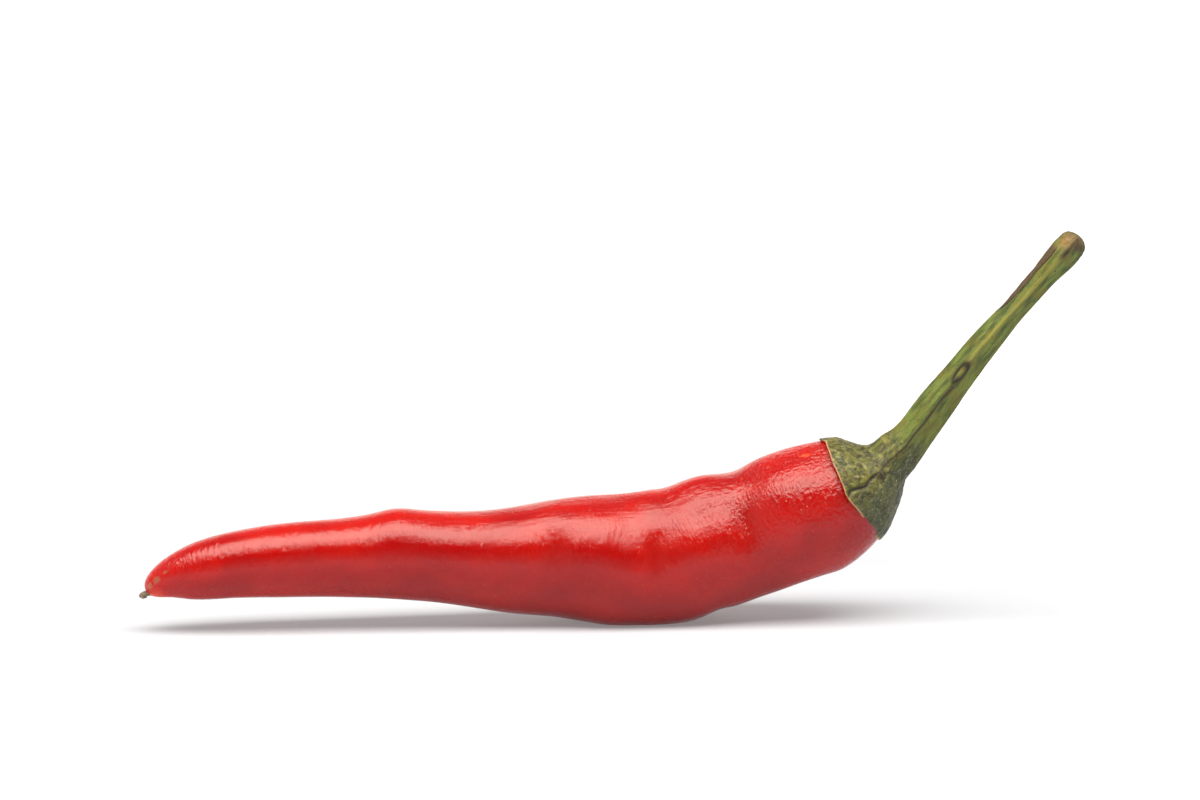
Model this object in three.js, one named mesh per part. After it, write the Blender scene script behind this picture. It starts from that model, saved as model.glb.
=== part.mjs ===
// A red chilli pepper as picked: a long curved pod, the green calyx that caps its shoulder, the ribbed
// stem, and the dried style at its tip. Millimetres, +Z up. The pod lies on the flattened patch of its
// belly: the origin is the middle of that patch, and +X runs along the pod from the tip to the stem.
// Past the patch the pod rises and bows towards -Y, and the stem goes on the same way.
import * as THREE from "three";
import { ParametricGeometry } from "three/addons/geometries/ParametricGeometry.js";
import { mergeVertices } from "three/addons/utils/BufferGeometryUtils.js";

// The pod's middle line and its radius there: [x, y, z, radius]. The first row is the tip, the last one
// is the middle of the shoulder, under the calyx.
const POD_STATIONS = [
  [-63.3, 0, 5.2, 0],
  [-63.1, 0, 5.4, 0.9],
  [-62.4, 0, 6.0, 1.7],
  [-60.8, 0, 6.9, 2.5],
  [-58.0, 0, 7.7, 3.5],
  [-53.0, 0, 8.6, 4.3],
  [-45.0, 0, 9.2, 4.9],
  [-36.0, 0, 9.4, 5.4],
  [-29.5, 0, 9.5, 5.9],
  [-22.0, 0, 8.9, 6.3],
  [-15.0, 0, 8.5, 7.1],
  [-8.0, 0, 8.6, 8.1],
  [0.0, 0, 8.2, 8.9],
  [6.0, 0, 8.5, 9.1],
  [12.5, -0.1, 10.4, 9.0],
  [19.9, -0.7, 12.7, 8.8],
  [25.7, -1.7, 15.1, 8.5],
  [29.1, -2.4, 16.6, 7.8],
  [31.0, -2.8, 17.5, 6.8],
  [32.4, -3.2, 18.3, 5.3],
  [33.1, -3.4, 18.7, 3.2],
  [33.4, -3.4, 18.8, 0],
];

// The stem's middle line and its radius there: [x, y, z, radius]. It starts on the calyx and ends in the
// thicker knob where it came off the plant.
const STEM_STATIONS = [
  [35.4, -3.9, 20.9, 3.5],
  [36.9, -4.3, 22.5, 3.1],
  [38.5, -4.8, 24.5, 2.7],
  [41.2, -5.5, 28.5, 2.5],
  [44.4, -6.4, 32.9, 2.2],
  [47.4, -7.2, 37.0, 2.0],
  [49.7, -7.8, 39.9, 1.8],
  [51.3, -8.3, 41.9, 1.6],
  [53.5, -8.8, 44.6, 1.7],
  [56.0, -9.5, 47.6, 1.8],
  [57.5, -9.9, 49.4, 2.1],
  [58.6, -10.2, 50.7, 1.9],
  [59.3, -10.4, 51.6, 1.6],
  [59.6, -10.5, 52.0, 1.0],
];

// The calyx in its own frame: how far along its axis from the rim, and the radius there. It starts inside
// on the axis, comes out over the pod's shoulder to the rim, and goes back up outside to the stem.
const CALYX_OUTLINE = [
  [3.4, 0],
  [3.2, 3.0],
  [2.4, 5.4],
  [1.1, 6.9],
  [-0.3, 7.5],
  [-0.4, 7.8],
  [1.0, 7.1],
  [2.0, 6.4],
  [2.9, 5.4],
  [3.8, 4.4],
  [4.5, 3.9],
  [4.5, 0],
];
// The calyx's axis leaves the middle of the rim at a tilt above the floor and a heading from +X, and
// turns up towards the stem.
const CALYX_RIM = [31.6, -2.9, 17.8];
const CALYX_TILT = 28;
const CALYX_TURN = 13;
const CALYX_HEADING = -15;
const RIM_ROWS = [4, 5];

// Five ribs run from the teeth of the calyx up the stem, evenly spaced round it.
const RIBS = 5;
const FIRST_RIB = 4;
const TOOTH_LENGTH = 0.4;
const CALYX_RIB = 0.03;
const STEM_RIB = 0.07;

// Soft swellings and hollows of the pod's wall: where along x, at what angle round the pod (0 faces -Y,
// 90 is the top), how far it stands out, and how far it spreads along and round the pod in mm.
const SWELLINGS = [
  { x: -30.5, angle: 85, height: 0.4, along: 2.5, around: 5 },
  { x: -9.8, angle: 12, height: -0.5, along: 2.0, around: 3.6 },
  { x: 4.0, angle: 6, height: -0.4, along: 1.5, around: 4 },
  { x: 10.2, angle: -85, height: -0.5, along: 1.8, around: 5 },
  { x: 12.0, angle: 65, height: 0.3, along: 3.0, around: 4 },
  { x: 17.0, angle: 85, height: -0.5, along: 2.5, around: 4 },
  { x: 17.5, angle: 6, height: -0.7, along: 2.6, around: 4.5 },
  { x: 26.5, angle: -80, height: 0.5, along: 3.0, around: 5 },
];

// The dried style, a small stub on the tip: [x, y, z, radius].
const STYLE_STATIONS = [
  [-63.7, 0, 5.0, 0.4],
  [-64.0, 0, 4.9, 0.5],
  [-64.3, 0, 4.7, 0.5],
  [-64.5, 0, 4.6, 0.3],
];

const POD_SIDES = 36;
const POD_RINGS = 63;
const STEM_SIDES = 30;
const STEM_RINGS = 33;
const CALYX_SIDES = 40;
const STYLE_SIDES = 10;
const STYLE_RINGS = 8;

const RED = { color: "#b01a17", roughness: 0.32, metalness: 0 };
const GREEN = { color: "#6b7136", roughness: 0.6, metalness: 0 };
const BROWN = { color: "#6f5b43", roughness: 0.85, metalness: 0 };

const UP = new THREE.Vector3(0, 0, 1);
const radians = THREE.MathUtils.degToRad;

// One closed body from a surface(u, v): u goes once round it, and v from one end to the other, where the
// surface closes to a point.
function closedBody(name, surface, sides, rings, finish) {
  const skin = new ParametricGeometry(surface, sides, rings);
  skin.deleteAttribute("normal");
  skin.deleteAttribute("uv");
  const body = mergeVertices(skin, 1e-4);
  body.computeVertexNormals();
  const mesh = new THREE.Mesh(body, new THREE.MeshStandardMaterial(finish));
  mesh.name = name;
  return mesh;
}

// A cross-section of a body: its middle, the level and the rising direction across the line, its radius.
function sectionAt(middle, along, radius) {
  const level = along.clone().cross(UP).normalize();
  const rising = level.clone().cross(along);
  return { middle, level, rising, radius };
}

// The cross-sections of a smooth body through [x, y, z, radius] stations, from t = 0 to t = 1.
function sectionsThrough(stations) {
  const line = new THREE.CatmullRomCurve3(
    stations.map(([x, y, z]) => new THREE.Vector3(x, y, z)),
  );
  const girth = new THREE.SplineCurve(
    stations.map(([, , , radius], i) => new THREE.Vector2(i, radius)),
  );
  return (t) =>
    sectionAt(
      line.getPoint(t),
      line.getTangent(t),
      Math.max(girth.getPoint(t).y, 0),
    );
}

// The point of a section at an angle and a distance from its middle. Angle 0 is level, on the -Y side.
function around(section, angle, distance, target) {
  return target
    .copy(section.middle)
    .addScaledVector(section.level, distance * Math.cos(angle))
    .addScaledVector(section.rising, distance * Math.sin(angle));
}

// 1 on a rib and -1 halfway between two ribs.
function ribWave(angle) {
  return Math.cos(RIBS * (angle - radians(FIRST_RIB)));
}

function swelling(x, angle, radius) {
  let height = 0;
  for (const bump of SWELLINGS) {
    const turned = angle - radians(bump.angle);
    const away = Math.atan2(Math.sin(turned), Math.cos(turned)) * radius;
    height +=
      bump.height *
      Math.exp(-(((x - bump.x) / bump.along) ** 2) - (away / bump.around) ** 2);
  }
  return height;
}

function pod() {
  const section = sectionsThrough(POD_STATIONS);
  return closedBody(
    "pod",
    (u, v, target) => {
      const here = section(v);
      const angle = -2 * Math.PI * u;
      const stands = swelling(here.middle.x, angle, here.radius);
      around(here, angle, here.radius > 0 ? here.radius + stands : 0, target);
      target.z = Math.max(target.z, 0);
    },
    POD_SIDES,
    POD_RINGS,
    RED,
  );
}

// A stalk through its stations, with a flat face at each end.
function stalk(name, stations, rib, sides, rings, finish) {
  const section = sectionsThrough(stations);
  return closedBody(
    name,
    (u, v, target) => {
      const ring = Math.round(v * rings);
      const isEnd = ring === 0 || ring === rings;
      const here = section(
        THREE.MathUtils.clamp((ring - 1) / (rings - 2), 0, 1),
      );
      const angle = -2 * Math.PI * u;
      const ribbed = here.radius * (1 + rib * ribWave(angle));
      around(here, angle, isEnd ? 0 : ribbed, target);
    },
    sides,
    rings,
    finish,
  );
}

function direction(tilt, heading) {
  return new THREE.Vector3(
    Math.cos(tilt) * Math.cos(heading),
    Math.cos(tilt) * Math.sin(heading),
    Math.sin(tilt),
  );
}

function calyx() {
  const height = CALYX_OUTLINE.at(-1)[0];
  const rim = new THREE.Vector3(...CALYX_RIM);
  const heading = radians(CALYX_HEADING);
  return closedBody(
    "calyx",
    (u, v, target) => {
      const row = Math.round(v * (CALYX_OUTLINE.length - 1));
      const [fromRim, radius] = CALYX_OUTLINE[row];
      const angle = -2 * Math.PI * u;
      const tooth = RIM_ROWS.includes(row)
        ? TOOTH_LENGTH * Math.max(ribWave(angle), 0) ** 2
        : 0;
      const along = fromRim - tooth;
      const turned = (CALYX_TURN * Math.max(along, 0)) / height;
      const chord = direction(radians(CALYX_TILT + turned / 2), heading);
      const here = sectionAt(
        rim.clone().addScaledVector(chord, along),
        direction(radians(CALYX_TILT + turned), heading),
        radius,
      );
      around(here, angle, radius * (1 + CALYX_RIB * ribWave(angle)), target);
    },
    CALYX_SIDES,
    CALYX_OUTLINE.length - 1,
    GREEN,
  );
}

const chilli = new THREE.Group();
chilli.add(
  pod(),
  calyx(),
  stalk("stem", STEM_STATIONS, STEM_RIB, STEM_SIDES, STEM_RINGS, GREEN),
  stalk("style_remnant", STYLE_STATIONS, 0, STYLE_SIDES, STYLE_RINGS, BROWN),
);
export default chilli;
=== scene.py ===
import math

import bpy
import numpy as np
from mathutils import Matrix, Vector, noise


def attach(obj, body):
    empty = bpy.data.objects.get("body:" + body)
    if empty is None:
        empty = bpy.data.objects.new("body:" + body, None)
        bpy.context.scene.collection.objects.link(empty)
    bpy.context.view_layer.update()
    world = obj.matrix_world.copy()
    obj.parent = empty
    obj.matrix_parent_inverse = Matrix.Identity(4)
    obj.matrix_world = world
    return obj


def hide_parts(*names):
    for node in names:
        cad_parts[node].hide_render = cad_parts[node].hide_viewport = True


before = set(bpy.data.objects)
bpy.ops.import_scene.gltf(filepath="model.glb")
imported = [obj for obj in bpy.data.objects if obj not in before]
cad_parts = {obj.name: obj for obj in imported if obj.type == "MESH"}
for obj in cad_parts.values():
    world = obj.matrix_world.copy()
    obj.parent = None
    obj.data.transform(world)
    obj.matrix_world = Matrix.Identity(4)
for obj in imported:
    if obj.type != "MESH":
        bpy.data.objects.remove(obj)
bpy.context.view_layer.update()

MM = 0.001

# The pod's middle line and radius: x, y, z, radius. It is the CAD part's line, with a fuller shoulder
# that reaches the calyx.
POD_STATIONS = [
    (-63.3, 0, 5.2, 0),
    (-63.1, 0, 5.4, 0.9),
    (-62.4, 0, 6.0, 1.7),
    (-60.8, 0, 6.9, 2.5),
    (-58.0, 0, 7.7, 3.5),
    (-53.0, 0, 8.6, 4.3),
    (-45.0, 0, 9.2, 4.9),
    (-36.0, 0, 9.4, 5.4),
    (-29.5, 0, 9.5, 5.9),
    (-22.0, 0, 8.9, 6.3),
    (-15.0, 0, 8.5, 7.1),
    (-8.0, 0, 8.6, 8.1),
    (0.0, 0, 8.2, 8.9),
    (6.0, 0, 8.5, 9.1),
    (12.5, -0.1, 10.4, 9.0),
    (19.9, -0.7, 12.7, 8.8),
    (25.7, -1.7, 15.1, 8.6),
    (29.1, -2.4, 16.6, 8.1),
    (31.0, -2.8, 17.5, 7.4),
    (32.4, -3.2, 18.3, 5.9),
    (33.1, -3.4, 18.7, 3.6),
    (33.4, -3.4, 18.8, 0),
]
# The calyx's outside and the stem, which go on from each other: x, y, z, radius. The second row is the
# middle of the calyx's rim, and distances up the stalk are counted from there.
STALK_STATIONS = [
    (30.4, -2.6, 17.2, 8.1),
    (31.6, -2.9, 17.8, 7.6),
    (32.5, -3.1, 18.3, 7.1),
    (33.3, -3.4, 18.8, 6.4),
    (34.1, -3.6, 19.4, 5.4),
    (34.8, -3.8, 20.1, 4.5),
    (35.4, -3.9, 20.9, 3.8),
    (36.9, -4.3, 22.5, 3.1),
    (38.5, -4.8, 24.5, 2.7),
    (41.2, -5.5, 28.5, 2.5),
    (44.4, -6.4, 32.9, 2.2),
    (47.4, -7.2, 37.0, 2.0),
    (49.7, -7.8, 39.9, 1.8),
    (51.3, -8.3, 41.9, 1.65),
    (53.5, -8.8, 44.6, 1.7),
    (56.0, -9.5, 47.6, 1.85),
    (57.5, -9.9, 49.4, 2.1),
    (58.6, -10.2, 50.7, 2.0),
    (59.4, -10.4, 51.7, 1.4),
    (59.7, -10.5, 52.0, 0),
]
RIM_STATION = 1
STYLE_STATIONS = [
    (-62.9, 0, 5.4, 0.5),
    (-63.4, 0, 5.2, 0.4),
    (-63.7, 0, 5.1, 0.45),
    (-64.0, 0, 4.9, 0.45),
    (-64.3, 0, 4.8, 0.28),
    (-64.4, 0, 4.7, 0),
]

# Swellings and hollows of the pod's wall: x, angle round the pod, height, spread along, spread around.
SWELLINGS = [
    (-30.5, 85, 0.4, 2.5, 5.0),
    (-9.8, 14, -0.6, 1.7, 4.2),
    (-4.5, 14, 0.35, 2.4, 5.0),
    (3.4, 10, -0.55, 1.5, 4.4),
    (3.7, 82, 0.28, 3.2, 4.5),
    (9.2, 20, 0.4, 2.2, 5.0),
    (10.2, -85, -0.5, 1.8, 5.0),
    (12.0, 75, 0.5, 3.0, 4.0),
    (17.5, 88, -0.7, 2.6, 4.0),
    (16.8, 16, -1.0, 2.2, 5.0),
    (23.0, 35, 0.6, 3.0, 6.0),
    (29.0, 42, -0.3, 1.7, 8.0),
    (26.5, -80, 0.6, 3.0, 5.0),
]
# Marks on the pod: x, angle, and how far each reaches along and around.
SCRATCHES = [(-62.6, 28, 0.25, 0.45), (-61.7, 27, 0.4, 0.5), (-60.5, 33, 0.22, 0.22)]
PALE_SPOT = (27.6, 66, 0.55, 0.4)
# The thick half sags a little: it is widest below its middle.
SAG = 0.12

RIBS = 5
FIRST_RIB = math.radians(4)
CALYX_END = 5.0

CAMERA_AZIMUTH = -8
CAMERA_ELEVATION = 7
CAMERA_DISTANCE = 0.45
CAMERA_LENS = 100
CAMERA_AIM = Vector((-0.0024, 0.0041, 0.0294))


# ---------------------------------------------------------------- curves and cross-sections


def spline(knots, values, at):
    """A natural cubic spline through the values at the knots, whose curvature has no jumps."""
    gap = np.diff(knots)
    slope = np.diff(values, axis=0) / gap[:, None]
    system = np.eye(len(knots))
    change = np.zeros_like(values)
    for i in range(1, len(knots) - 1):
        system[i, i - 1 : i + 2] = gap[i - 1], 2 * (gap[i - 1] + gap[i]), gap[i]
        change[i] = 6 * (slope[i] - slope[i - 1])
    bend = np.linalg.solve(system, change)
    i = np.clip(np.searchsorted(knots, at, side="right") - 1, 0, len(gap) - 1)
    step = gap[i][..., None]
    b = (at - knots[i])[..., None] / step
    a = 1 - b
    curved = ((a**3 - a) * bend[i] + (b**3 - b) * bend[i + 1]) * step**2 / 6
    return a * values[i] + b * values[i + 1] + curved


class Line:
    """A smooth middle line with a radius, through stations. Distances start at one of the stations. The
    cross-sections face along a chord of the line that reaches so far to each side."""

    def __init__(self, stations, start=0, chord=0.01):
        rows = np.array(stations, float)
        steps = np.linalg.norm(np.diff(rows[:, :3], axis=0), axis=1)
        self.knots = np.concatenate([[0], np.cumsum(steps)])
        self.knots -= self.knots[start]
        self.places = rows[:, :3]
        # The spline runs through the squares of the radii, which go to nothing evenly at a rounded end.
        self.squares = rows[:, 3:] ** 2
        self.chord = chord
        self.first = self.knots[0]
        self.last = self.knots[-1]

    def middle(self, at):
        return spline(self.knots, self.places, at)

    def radius(self, at):
        return np.sqrt(np.maximum(spline(self.knots, self.squares, at)[..., 0], 0))

    def point(self, at, angle, distance):
        """Points at an angle round the line and a distance from it. Angle 0 is level, on the -Y side."""
        ahead = np.minimum(at + self.chord, self.last)
        behind = np.maximum(at - self.chord, self.first)
        along = self.middle(ahead) - self.middle(behind)
        along /= np.linalg.norm(along, axis=-1, keepdims=True)
        level = np.cross(along, (0, 0, 1))
        level /= np.linalg.norm(level, axis=-1, keepdims=True)
        rising = np.cross(level, along)
        across = level * np.cos(angle)[..., None] + rising * np.sin(angle)[..., None]
        return self.middle(at) + across * distance[..., None]


def eased(count, ease):
    """Evenly spaced numbers from 0 to 1 that crowd together at both ends."""
    w = (np.arange(count) + 0.5) / count
    rise = np.minimum(w, 1 - w)
    s = np.where(rise < ease, rise**2 / (2 * ease), rise - ease / 2) / (1 - ease)
    return np.where(w < 0.5, s, 1 - s)


def grid(distances, sides):
    """Distances along a line and angles round it, for each point of a grid."""
    angles = np.arange(sides) * 2 * math.pi / sides
    return np.meshgrid(distances, angles, indexing="ij")


def field(points, size, shift=0.0):
    """Smooth noise between -1 and 1 at each point. size is the size of its lumps, one for each axis."""
    scaled = points / np.array(size, float) + shift
    flat = [noise.noise(Vector(p)) for p in scaled.reshape(-1, 3)]
    return np.array(flat).reshape(points.shape[:-1])


def bell(distance, spread):
    """1 at no distance, falling to about a third at the spread."""
    return np.exp(-((distance / spread) ** 2))


def step_up(value, low, high):
    """0 below low and 1 above high, with a smooth rise between them."""
    t = np.clip((value - low) / (high - low), 0, 1)
    return t * t * (3 - 2 * t)


def turn_from(angle, centre):
    """The angle between two directions, from -pi to pi."""
    return np.arctan2(np.sin(angle - centre), np.cos(angle - centre))


# ---------------------------------------------------------------- meshes


def skin(name, points, start, end, marks, body_material, node):
    """A closed piece from a grid of points in mm, closed by one point at each end. marks holds one value
    or vector for each grid point, for the material to read."""
    rings, sides = points.shape[:2]
    corners = np.concatenate([[start], points.reshape(-1, 3), [end]]) * MM
    index = np.arange(rings * sides).reshape(rings, sides) + 1
    turned = np.roll(index, -1, axis=1)
    quads = np.stack([index[:-1], index[1:], turned[1:], turned[:-1]], -1).reshape(-1, 4)
    last = rings * sides + 1
    fan = [(0, a, b) for a, b in zip(index[0].tolist(), turned[0].tolist())]
    fan += [(last, b, a) for a, b in zip(index[-1].tolist(), turned[-1].tolist())]
    mesh = bpy.data.meshes.new(name)
    mesh.from_pydata(corners.tolist(), [], quads.tolist() + fan)
    for mark, values in marks.items():
        flat = values.reshape(rings * sides, -1)
        flat = np.concatenate([flat[:1], flat, flat[-1:]]).astype(np.float32)
        kind = "FLOAT_VECTOR" if flat.shape[1] == 3 else "FLOAT"
        data = mesh.attributes.new(mark, kind, "POINT").data
        data.foreach_set("vector" if kind == "FLOAT_VECTOR" else "value", flat.ravel())
    mesh.polygons.foreach_set("use_smooth", [True] * len(mesh.polygons))
    mesh.materials.append(body_material)
    mesh.update()
    piece = bpy.data.objects.new(name, mesh)
    bpy.context.scene.collection.objects.link(piece)
    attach(piece, "root")
    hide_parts(node)
    return piece


def grown(at, angle, radius):
    """The piece's own straightened coordinates in mm: along it, and two across it."""
    return np.stack([at, radius * np.cos(angle), radius * np.sin(angle)], -1)


# ---------------------------------------------------------------- the pod

POD = Line(POD_STATIONS)
POD_SIDES = 300
POD_RINGS = 320


def pod_wall(at, angle, radius, places):
    """How far the pod's wall stands out from a plain round section."""
    stands = np.zeros_like(at)
    x = places[..., 0]
    for centre, turned, height, along, spread in SWELLINGS:
        away = turn_from(angle, math.radians(turned)) * radius
        stands += height * bell(x - centre, along) * bell(away, spread)
    own = grown(at, angle, radius)
    thick = step_up(at, 30, 75)
    rise = np.sin(angle)
    stands -= SAG * step_up(x, -12, 2) * radius * (rise - rise**5)
    stands += (0.08 + 0.12 * thick) * field(own, (8, 6, 6), 3.1)
    stands += (0.025 + 0.06 * thick) * field(own, (3.5, 3, 3), 7.7)
    # Long shallow wrinkles run along the upper side.
    upper = step_up(rise, 0.45, 0.75) * step_up(at, 25, 45)
    stands += 0.015 * upper * field(own, (7, 1.1, 1.1), 4.4)
    stands += 0.06 * upper * field(own, (9, 2.6, 2.6), 8.8)
    return stands * np.minimum(radius / 2, 1)


def pod_marks(at, angle, radius, places):
    """Where the pod is tinted, scratched and spotted, and its straightened coordinates."""
    own = grown(at, angle, radius)
    ragged = 0.25 * field(own, (0.25, 0.25, 0.25), 5.5)

    def patch(x, turned, along, spread):
        away = turn_from(angle, math.radians(turned)) * radius
        return 1 - step_up(np.hypot((places[..., 0] - x) / along, away / spread) + ragged, 0.6, 1.2)

    low = step_up(-np.sin(angle), -0.4, 0.6)
    return {
        "grown": own,
        "tint": (1 - step_up(at - POD.first, 0.6, 2.6)) * low,
        "scratch": np.max([patch(*row) for row in SCRATCHES], axis=0),
        "spot": patch(*PALE_SPOT),
        "upper": step_up(np.sin(angle), 0.45, 0.8) * step_up(at, 25, 45),
    }


def make_pod():
    distances = POD.first + (POD.last - POD.first) * eased(POD_RINGS, 0.04)
    at, angle = grid(distances, POD_SIDES)
    radius = POD.radius(at)
    places = POD.middle(at)
    distance = radius + pod_wall(at, angle, radius, places)
    points = POD.point(at, angle, distance)
    points[..., 2] = np.maximum(points[..., 2], 0)
    ends = POD.middle(np.array([POD.first, POD.last]))
    marks = pod_marks(at, angle, radius, places)
    return skin("pod_flesh", points, ends[0], ends[1], marks, pod_material(), "pod")


# ---------------------------------------------------------------- the calyx and the stem

STALK = Line(STALK_STATIONS, RIM_STATION, 2.2)

# Lines along the stalk: distance from the calyx's rim, angle in degrees.
CREASE = [(-1.0, 2), (0.0, 6), (1.9, 2), (2.7, 6), (3.6, 7)]
FRONT_RIB = [(3.6, 7), (4.6, 6), (6.0, 6), (7.5, 4), (9.0, 0)]
FRONT_RIB += [(11.0, 3), (13.0, 0), (17.4, -2), (19.4, -8)]
LOWER_RIB = [(4.0, -44), (4.9, -46), (6.6, -60), (8.5, -52), (12.0, -60), (18.0, -64)]
PALE_RIDGE = [(22.6, 5), (26.0, 5), (32.0, 2), (41.5, -3)]
PEEL_EDGE = [(31.0, 66), (32.9, 58), (34.6, 46), (36.5, 46)]
PEEL_EDGE += [(37.8, 50), (39.4, 44), (40.7, 38), (42.0, 43)]
SCAR = (21.4, 5)
SCAR_SIZE = (1.55, 0.6)
END_SLOT = (42.4, -3)
END_SLOT_SIZE = (1.1, 0.2)
OUTER_TAN = (43.4, 34)
END_FACE = 43.6
TOP_TOOTH = (-1.5, 88)


def from_rib(angle):
    """The angle to the nearest rib."""
    apart = 2 * math.pi / RIBS
    return (angle - FIRST_RIB + apart / 2) % apart - apart / 2


def off_line(at, angle, line):
    """How far round the stalk a point lies from a line, in mm, and 1 beside it and 0 past its ends."""
    places, degrees = zip(*line)
    turn = turn_from(angle, np.radians(np.interp(at, places, degrees)))
    begun = step_up(at, places[0] - 0.3, places[0] + 0.3)
    ended = step_up(at, places[-1] - 0.5, places[-1] + 0.5)
    return turn * STALK.radius(at), begun * (1 - ended)


def along_line(at, angle, line, width):
    """1 on a line along the stalk, falling off beside it over a width in mm."""
    away, inside = off_line(at, angle, line)
    return bell(away, width) * inside


def from_oval(at, angle, place, size):
    """The distance from the middle of an oval: 1 on its edge."""
    across = turn_from(angle, math.radians(place[1])) * STALK.radius(at)
    return np.hypot((at - place[0]) / size[0], across / size[1])


def peeled(at, angle):
    """1 on the dry strip where the stem's skin has peeled, beside its edge line."""
    away, inside = off_line(at, angle, PEEL_EDGE)
    far = turn_from(angle, math.radians(100)) * STALK.radius(at)
    return step_up(away, -0.05, 0.2) * (1 - step_up(far, -0.3, 0.3)) * inside


def stalk_distance(at, angle):
    """The distance of the stalk's surface from its middle line."""
    radius = STALK.radius(at)
    rib = from_rib(angle)
    half = math.pi / RIBS
    flat = math.cos(half) / np.cos(half - np.abs(rib))
    upper = step_up(at, 3, 11)
    shaped = radius * (1 - (0.05 + 0.45 * upper) * (1 - flat))
    shaped += radius * 0.035 * upper * bell(rib, 0.16)
    # The calyx swells above the top tooth, and draws in below it.
    top = turn_from(angle, math.radians(88))
    shaped += 0.9 * bell(at - 3.4, 1.5) * bell(top, 0.7)
    low = bell(turn_from(angle, math.radians(-85)), 0.8)
    shaped -= low * (0.35 * bell(at - 4.8, 1.6) + 0.6 * bell(at - 2.6, 1.5))
    shaped += 0.35 * bell(at - 7.5, 1.6) * bell(top, 0.7) - 0.2 * bell(at - 5.3, 0.7) * bell(top, 0.6)
    own = grown(at, angle, radius)
    rough = 1 - step_up(at, 4, 10)
    fade = step_up(at, -1.0, 0.8)
    shaped += 0.16 * rough * fade * field(own, (1.5, 1.2, 1.2), 2.2)
    shaped += (0.02 + 0.06 * rough * fade) * field(own, (0.6, 0.5, 0.5), 5.1)
    shaped += 0.05 * field(own, (6, 0.7, 0.7), 9.4)
    # A crease runs from the front tooth to a knot, and the front rib goes on from there.
    shaped -= 0.38 * along_line(at, angle, CREASE, 0.26)
    shaped += 0.25 * bell(from_oval(at, angle, (3.7, 9), (0.6, 0.6)), 1)
    shaped += 0.12 * along_line(at, angle, FRONT_RIB, 0.35)
    shaped -= 0.1 * along_line(at, angle, FRONT_RIB, 0.1)
    shaped += 0.08 * along_line(at, angle, LOWER_RIB, 0.3)
    shaped += 0.1 * along_line(at, angle, PALE_RIDGE, 0.28)
    scar = from_oval(at, angle, SCAR, SCAR_SIZE)
    shaped += 0.14 * bell(scar - 1, 0.3) - 0.16 * bell(scar, 0.7)
    shaped -= 0.16 * along_line(at, angle, PEEL_EDGE, 0.13)
    dry = peeled(at, angle)
    shaped -= 0.08 * dry - 0.07 * dry * field(own, (1.2, 0.3, 0.3), 6.2)
    shaped -= 0.14 * bell(from_oval(at, angle, END_SLOT, END_SLOT_SIZE), 0.9)
    shaped += 0.1 * step_up(at, END_FACE - 1, END_FACE) * field(own, (0.4, 0.4, 0.4), 3.9)
    return shaped


# The calyx's rim: angle in degrees, distance along the stalk.
RIM_PLACES = [(-180, -0.3), (-100, -0.25), (-88, -0.35), (-50, -0.35), (-18, -0.35)]
RIM_PLACES += [(-6, -0.7), (4, -1.2), (14, -0.8), (60, -0.7), (80, -0.8), (88, -1.9)]
RIM_PLACES += [(97, -0.8), (120, -0.6), (148, -1.0), (180, -0.3)]
RIM_ROUNDING = (-4, -2, 0, 2, 4)


def rim_at(angle):
    """How far along the stalk the calyx's rim lies: it reaches out in short teeth."""
    degrees, places = zip(*RIM_PLACES)
    turned = np.degrees(turn_from(angle, 0))
    shifted = [np.interp(turned + shift, degrees, places, period=360) for shift in RIM_ROUNDING]
    rim = sum(shifted) / len(RIM_ROUNDING)
    return rim + 0.05 * np.sin(11 * angle) * np.cos(4 * angle)


CALYX_WALL = 0.25
CALYX_SIDES = 260
# The calyx's top and the start of the stem run on a little inside each other, sunk below the surface.
OVERLAP = 0.8
SUNK = 0.35
STEM_SIDES = 180
STEM_RINGS = 360


def make_calyx():
    outer = np.linspace(0, 1, 110)
    inner = np.linspace(0.5, 0, 16)
    lip = np.linspace(0, 1, 7)[1:-1]
    v, angle = grid(outer, CALYX_SIDES)
    rim = rim_at(angle[:1])
    # Outside, from the rim to a little inside the stem.
    at = rim + (CALYX_END + OVERLAP - rim) * v
    sunk = SUNK * step_up(at, CALYX_END, CALYX_END + OVERLAP)
    outside = stalk_distance(at, angle) - sunk
    # Inside, from under the cap to the rim, then round the lip.
    v_in, angle_in = grid(inner, CALYX_SIDES)
    at_in = rim + (CALYX_END - rim) * v_in
    inside = stalk_distance(at_in, angle_in) - CALYX_WALL
    v_lip, angle_lip = grid(lip, CALYX_SIDES)
    at_lip = rim - 0.1 * np.sin(math.pi * v_lip)
    around_lip = stalk_distance(rim, angle[:1]) - CALYX_WALL * (1 - v_lip)
    at_all = np.concatenate([at_in, at_lip, at])
    angle_all = np.concatenate([angle_in, angle_lip, angle])
    distance_all = np.concatenate([inside, around_lip, outside])
    points = STALK.point(at_all, angle_all, distance_all)
    ends = STALK.middle(np.array([at_in[0, 0], at[-1, 0]]))
    marks = stalk_marks(at_all, angle_all, distance_all)
    marks["margin"] = bell(at_all - rim, 0.16)
    green = stalk_material("calyx_green")
    return skin("calyx_sepals", points, ends[0], ends[1], marks, green, "calyx")


def make_stem():
    start = CALYX_END - 1.2
    # The rings crowd together towards the stem's end.
    left = 1 - np.linspace(0, 1, STEM_RINGS, endpoint=False)
    distances = start + (STALK.last - start) * (1 - left**1.15)
    at, angle = grid(distances, STEM_SIDES)
    sunk = SUNK * (1 - step_up(at, start, CALYX_END))
    distance = stalk_distance(at, angle) - sunk
    points = STALK.point(at, angle, distance)
    ends = STALK.middle(np.array([distances[0], STALK.last]))
    marks = stalk_marks(at, angle, distance)
    marks["margin"] = np.zeros_like(at)
    green = stalk_material("stem_green")
    return skin("pedicel_stalk", points, ends[0], ends[1], marks, green, "stem")


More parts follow.
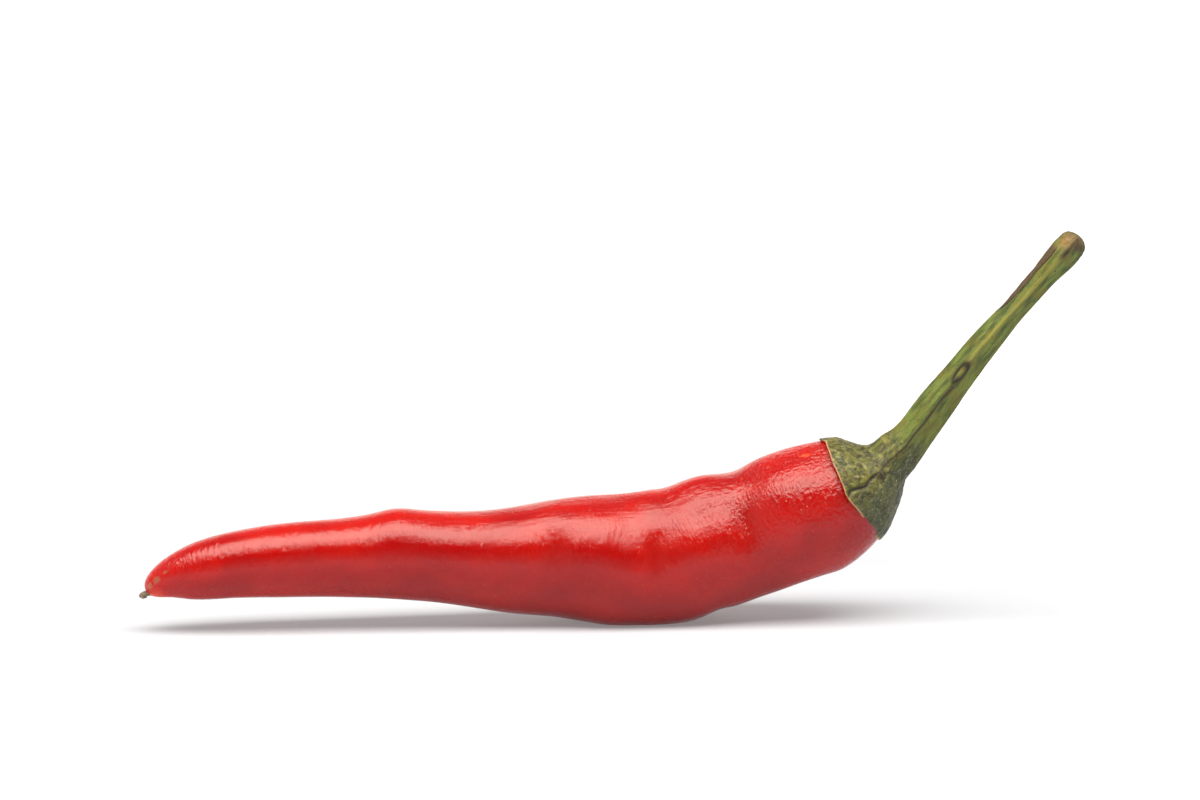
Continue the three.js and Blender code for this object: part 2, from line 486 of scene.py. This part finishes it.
def stalk_marks(at, angle, radius):
    """Where the stalk is brown, dry, tan, pale, frosted and aged, where painted shade darkens its
    creases and grooves and its top tooth's point is dark, and its own coordinates.
    """
    own = grown(at, angle, radius)
    patchy = 0.5 + 0.5 * field(own, (0.8, 0.3, 0.3), 4.4)
    brown = 0.9 * along_line(at, angle, FRONT_RIB, 0.2)
    brown += 0.7 * along_line(at, angle, LOWER_RIB, 0.25) * patchy
    brown += 0.5 * along_line(at, angle, PALE_RIDGE, 0.12) * bell(at - 24, 3) * patchy
    brown += step_up(at, 42.6, 44.2) * (0.5 + 0.5 * patchy)
    brown += bell(from_oval(at, angle, END_SLOT, (1.6, 0.5)), 1) * 0.7
    dry = peeled(at, angle)
    scar = from_oval(at, angle, SCAR, SCAR_SIZE)
    tan = 0.8 * bell(scar, 0.5) * patchy
    tan += 0.8 * bell(from_oval(at, angle, OUTER_TAN, (1.2, 1.0)), 1)
    pale = 0.8 * along_line(at, angle, PALE_RIDGE, 0.3)
    # Painted shade: dark colour in the crease, in the groove along the front rib, round the scar's edge,
    # along the peel's edge and in the end slot. The top tooth's point is dark itself.
    shade_and_dark_tip = along_line(at, angle, CREASE, 0.24) + 0.8 * along_line(at, angle, FRONT_RIB, 0.06)
    shade_and_dark_tip += 0.95 * bell(scar - 0.9, 0.4) + along_line(at, angle, PEEL_EDGE, 0.12)
    shade_and_dark_tip += bell(from_oval(at, angle, END_SLOT, END_SLOT_SIZE), 0.7)
    shade_and_dark_tip += bell(from_oval(at, angle, TOP_TOOTH, (0.9, 0.8)), 1)
    low = step_up(-np.sin(angle - math.radians(4)), -0.1, 0.5)
    frost = low * (1 - step_up(at, 7, 12)) * (0.35 + 0.5 * patchy)
    marks = {"brown": brown, "dry": dry, "tan": tan, "pale": pale, "shade_and_dark_tip": shade_and_dark_tip, "frost": frost}
    marks["aged"] = 1 - step_up(at, 4, 13)
    marks = {name: np.clip(values, 0, 1) for name, values in marks.items()}
    marks["grown"] = own
    return marks


def make_style():
    line = Line(STYLE_STATIONS)
    distances = line.first + (line.last - line.first) * eased(40, 0.1)
    at, angle = grid(distances, 32)
    radius = line.radius(at)
    own = grown(at, angle, radius)
    lumps = 0.25 * field(own, (0.4, 0.3, 0.3)) + 0.1 * field(own, (0.15, 0.1, 0.1))
    distance = radius * (1 + lumps)
    points = line.point(at, angle, distance)
    ends = line.middle(np.array([line.first, line.last]))
    marks = {"grown": own}
    dried = style_material()
    return skin("style_scar", points, ends[0], ends[1], marks, dried, "style_remnant")


# ---------------------------------------------------------------- materials


def paint(code):
    """The linear colour of an sRGB hex code."""
    parts = [int(code[i : i + 2], 16) / 255 for i in (0, 2, 4)]
    return [c / 12.92 if c <= 0.04045 else ((c + 0.055) / 1.055) ** 2.4 for c in parts] + [1]


def add(tree, kind, inputs=(), **settings):
    """A new shader node. Each input is a value or the output that feeds it."""
    made = tree.nodes.new("ShaderNode" + kind)
    for name, value in settings.items():
        setattr(made, name, value)
    for name, value in dict(inputs).items():
        if isinstance(value, bpy.types.NodeSocket):
            tree.links.new(value, made.inputs[name])
        else:
            made.inputs[name].default_value = value
    return made


def mix(tree, factor, low, high):
    """Two colours mixed: the low one at factor 0, the high one at 1."""
    made = add(tree, "Mix", {0: factor, 6: low, 7: high}, data_type="RGBA")
    return made.outputs[2]


def maths(tree, operation, a, b=0.0):
    return add(tree, "Math", {0: a, 1: b}, operation=operation).outputs[0]


def ramp(tree, value, low, high, to_low=0.0, to_high=1.0):
    """A straight rise from to_low to to_high while the value goes from low to high, level outside."""
    inputs = {"Value": value, "From Min": low, "From Max": high}
    inputs |= {"To Min": to_low, "To Max": to_high}
    return add(tree, "MapRange", inputs).outputs[0]


def attribute(tree, name):
    return add(tree, "Attribute", attribute_name=name)


def grain(tree, scale, detail=2.0, roughness=0.5):
    """Noise in the piece's own coordinates. scale is in lumps per mm, one for each of its axes."""
    own = attribute(tree, "grown").outputs["Vector"]
    stretched = add(tree, "Mapping", {"Vector": own, "Scale": scale}).outputs[0]
    inputs = {"Vector": stretched, "Scale": 1.0, "Detail": detail, "Roughness": roughness}
    return add(tree, "TexNoise", inputs).outputs["Fac"]


def new_material(name):
    material = bpy.data.materials.new(name)
    material.use_nodes = True
    tree = material.node_tree
    shader = tree.nodes["Principled BSDF"]
    return material, tree, shader


def pod_material():
    material, tree, shader = new_material("pod_skin")
    along = add(tree, "SeparateXYZ", {0: attribute(tree, "grown").outputs["Vector"]}).outputs[0]
    tone = ramp(tree, grain(tree, (0.12, 0.2, 0.2), 3), 0.35, 0.65)
    colour = mix(tree, tone, paint("970002"), paint("a80a02"))
    specks = ramp(tree, grain(tree, (2.4, 2.8, 2.8), 1), 0.7, 0.76, 0, 0.12)
    colour = mix(tree, specks, colour, paint("d8603c"))
    stains = (("tint", "c8501a", 0.6), ("spot", "d84a10", 0.8), ("scratch", "8a6a4c", 0.75))
    for mark, code, strength in stains:
        there = maths(tree, "MULTIPLY", attribute(tree, mark).outputs["Fac"], strength)
        colour = mix(tree, there, colour, paint(code))
    tree.links.new(colour, shader.inputs["Base Color"])
    thick = ramp(tree, along, 60, 95)
    ridges = maths(tree, "MULTIPLY", grain(tree, (2.6, 0.8, 0.8), 3), 0.13)
    rising = maths(tree, "MULTIPLY", thick, 0.18)
    pebbles = maths(tree, "MULTIPLY", grain(tree, (1.7, 1.7, 1.7), 2), rising)
    fine = maths(tree, "MULTIPLY", grain(tree, (5, 5, 5), 1), 0.03)
    height = maths(tree, "ADD", maths(tree, "ADD", ridges, pebbles), fine)
    upper = attribute(tree, "upper").outputs["Fac"]
    streaks = maths(tree, "MULTIPLY", grain(tree, (0.22, 2.2, 2.2), 2), upper)
    height = maths(tree, "ADD", height, maths(tree, "MULTIPLY", streaks, 0.07))
    bump = add(tree, "Bump", {"Height": height, "Distance": MM, "Strength": 1.0})
    tree.links.new(bump.outputs[0], shader.inputs["Normal"])
    rough = ramp(tree, grain(tree, (0.6, 1, 1), 3), 0.3, 0.7, 0.15, 0.22)
    tree.links.new(rough, shader.inputs["Roughness"])
    shader.inputs["IOR"].default_value = 1.45
    shader.inputs["Subsurface Weight"].default_value = 0.85
    shader.inputs["Subsurface Radius"].default_value = (1.0, 0.08, 0.05)
    shader.inputs["Subsurface Scale"].default_value = 0.013
    return material


def stalk_material(name):
    material, tree, shader = new_material(name)
    aged = attribute(tree, "aged").outputs["Fac"]
    streaks = ramp(tree, grain(tree, (0.3, 1.6, 1.6), 4), 0.38, 0.6)
    fresh = mix(tree, streaks, paint("3c4818"), paint("65712c"))
    old = mix(tree, streaks, paint("2d2c0f"), paint("5e5c24"))
    colour = mix(tree, maths(tree, "MULTIPLY", aged, 0.85), fresh, old)
    warm = ramp(tree, grain(tree, (0.45, 0.5, 0.5), 3), 0.45, 0.65)
    colour = mix(tree, maths(tree, "MULTIPLY", warm, 0.6), colour, paint("6a621c"))
    blotches = ramp(tree, grain(tree, (0.8, 1.0, 1.0), 5, 0.65), 0.5, 0.62)
    spread = ramp(tree, aged, 0, 1, 0.08, 1.0)
    colour = mix(tree, maths(tree, "MULTIPLY", blotches, spread), colour, paint("2c2110"))
    bright = ramp(tree, grain(tree, (1.1, 1.4, 1.4), 4, 0.6), 0.55, 0.68)
    bright = maths(tree, "MULTIPLY", bright, maths(tree, "MULTIPLY", aged, 0.65))
    colour = mix(tree, bright, colour, paint("9a9058"))
    marks = (("frost", "343b2b"), ("pale", "8a8436"), ("brown", "3f2d1a"), ("dry", "4e3c26"))
    for mark, code in marks:
        colour = mix(tree, attribute(tree, mark).outputs["Fac"], colour, paint(code))
    scuffs = ramp(tree, grain(tree, (1.6, 3.5, 3.5), 4, 0.7), 0.56, 0.66, 0, 0.75)
    scuffs = maths(tree, "MULTIPLY", scuffs, attribute(tree, "frost").outputs["Fac"])
    colour = mix(tree, scuffs, colour, paint("a9ab93"))
    colour = mix(tree, attribute(tree, "tan").outputs["Fac"], colour, paint("8d6a3a"))
    colour = mix(tree, attribute(tree, "margin").outputs["Fac"], colour, paint("b48c62"))
    # Painted shade: near-black brown in the stalk's creases, grooves, scar edge and end slot, and the
    # top tooth's own dark point.
    colour = mix(tree, attribute(tree, "shade_and_dark_tip").outputs["Fac"], colour, paint("22170f"))
    specks = ramp(tree, grain(tree, (3.2, 4.0, 4.0), 1), 0.68, 0.74)
    colour = mix(tree, maths(tree, "MULTIPLY", specks, 0.75), colour, paint("1d160c"))
    tree.links.new(colour, shader.inputs["Base Color"])
    fibres = maths(tree, "MULTIPLY", grain(tree, (0.8, 3.5, 3.5), 4), 0.07)
    moss = maths(tree, "MULTIPLY", grain(tree, (3.0, 3.0, 3.0), 3, 0.6), 0.08)
    height = maths(tree, "ADD", fibres, moss)
    bump = add(tree, "Bump", {"Height": height, "Distance": MM, "Strength": 1.0})
    tree.links.new(bump.outputs[0], shader.inputs["Normal"])
    rough = ramp(tree, grain(tree, (1, 2, 2), 3), 0.3, 0.7, 0.42, 0.62)
    tree.links.new(rough, shader.inputs["Roughness"])
    shader.inputs["IOR"].default_value = 1.4
    return material


def style_material():
    material, tree, shader = new_material("dried_style")
    tone = ramp(tree, grain(tree, (3, 3, 3), 3), 0.3, 0.7)
    tree.links.new(mix(tree, tone, paint("4a3a2c"), paint("9a8a72")), shader.inputs["Base Color"])
    shader.inputs["Roughness"].default_value = 0.85
    return material


# ---------------------------------------------------------------- floor, light and camera


def make_floor():
    half = 4.0
    # A hair under the pod's flat patch, so that the two faces don't share a plane.
    level = -0.00002
    mesh = bpy.data.meshes.new("floor")
    corners = [(-half, -half, level), (half, -half, level), (half, half, level), (-half, half, level)]
    mesh.from_pydata(corners, [], [(0, 1, 2, 3)])
    floor = bpy.data.objects.new("floor", mesh)
    bpy.context.scene.collection.objects.link(floor)
    material, tree, shader = new_material("floor_white")
    place = add(tree, "TexCoord").outputs["Object"]
    away = add(tree, "VectorMath", {0: place}, operation="LENGTH").outputs["Value"]
    tree.links.new(ramp(tree, away, 0.06, 0.3, 0.2), shader.inputs["Emission Strength"])
    shader.inputs["Emission Color"].default_value = (1, 1, 1, 1)
    shader.inputs["Base Color"].default_value = (0.4, 0.415, 0.478, 1)
    shader.inputs["Roughness"].default_value = 0.9
    shader.inputs["Specular IOR Level"].default_value = 0.2
    mesh.materials.append(material)


def make_softbox():
    light = bpy.data.lights.new("softbox", "AREA")
    light.shape = "RECTANGLE"
    light.size = 0.8
    light.size_y = 0.62
    radiance = 7.8
    light.color = (1.0, 0.96, 0.84)
    light.energy = radiance * math.pi * light.size * light.size_y
    box = bpy.data.objects.new("softbox", light)
    bpy.context.scene.collection.objects.link(box)
    tilt = math.radians(64)
    reach = 0.6
    box.location = (0.0, -reach * math.cos(tilt), reach * math.sin(tilt) + 0.01)
    box.rotation_euler = (-(math.pi / 2 - tilt), 0, 0)
    box.visible_camera = False


def make_world():
    world = bpy.data.worlds.new("studio")
    bpy.context.scene.world = world
    world.use_nodes = True
    tree = world.node_tree
    place = add(tree, "TexCoord").outputs["Generated"]
    parts = add(tree, "SeparateXYZ", {0: place})
    low = ramp(tree, parts.outputs[2], 0.28, 0.44, 0.6, 0)
    back = ramp(tree, parts.outputs[1], -0.05, 0.35, 0, 1)
    bright = ramp(tree, parts.outputs[2], 0.35, 0.7, 1.4, 0.3)
    back = maths(tree, "MULTIPLY", back, bright)
    side = ramp(tree, parts.outputs[0], -0.5, -0.8, 0, 0.7)
    white = maths(tree, "MAXIMUM", maths(tree, "MAXIMUM", low, back), side)
    strength = maths(tree, "MAXIMUM", white, 0.05)
    background = tree.nodes["Background"]
    background.inputs["Color"].default_value = (1, 0.96, 0.86, 1)
    tree.links.new(strength, background.inputs["Strength"])


def make_camera():
    data = bpy.data.cameras.new("camera")
    data.lens = CAMERA_LENS
    camera = bpy.data.objects.new("camera", data)
    bpy.context.scene.collection.objects.link(camera)
    a, e = math.radians(CAMERA_AZIMUTH), math.radians(CAMERA_ELEVATION)
    back = Vector((math.sin(a) * math.cos(e), -math.cos(a) * math.cos(e), math.sin(e)))
    camera.location = CAMERA_AIM + back * CAMERA_DISTANCE
    camera.rotation_mode = "QUATERNION"
    camera.rotation_quaternion = (-back).to_track_quat("-Z", "Y")
    data.clip_start = 0.01
    bpy.context.scene.camera = camera


make_camera()
make_world()
make_softbox()
make_floor()
make_pod()
make_calyx()
make_stem()
make_style()
bpy.context.scene.view_settings.view_transform = "Standard"

bpy.context.view_layer.update()
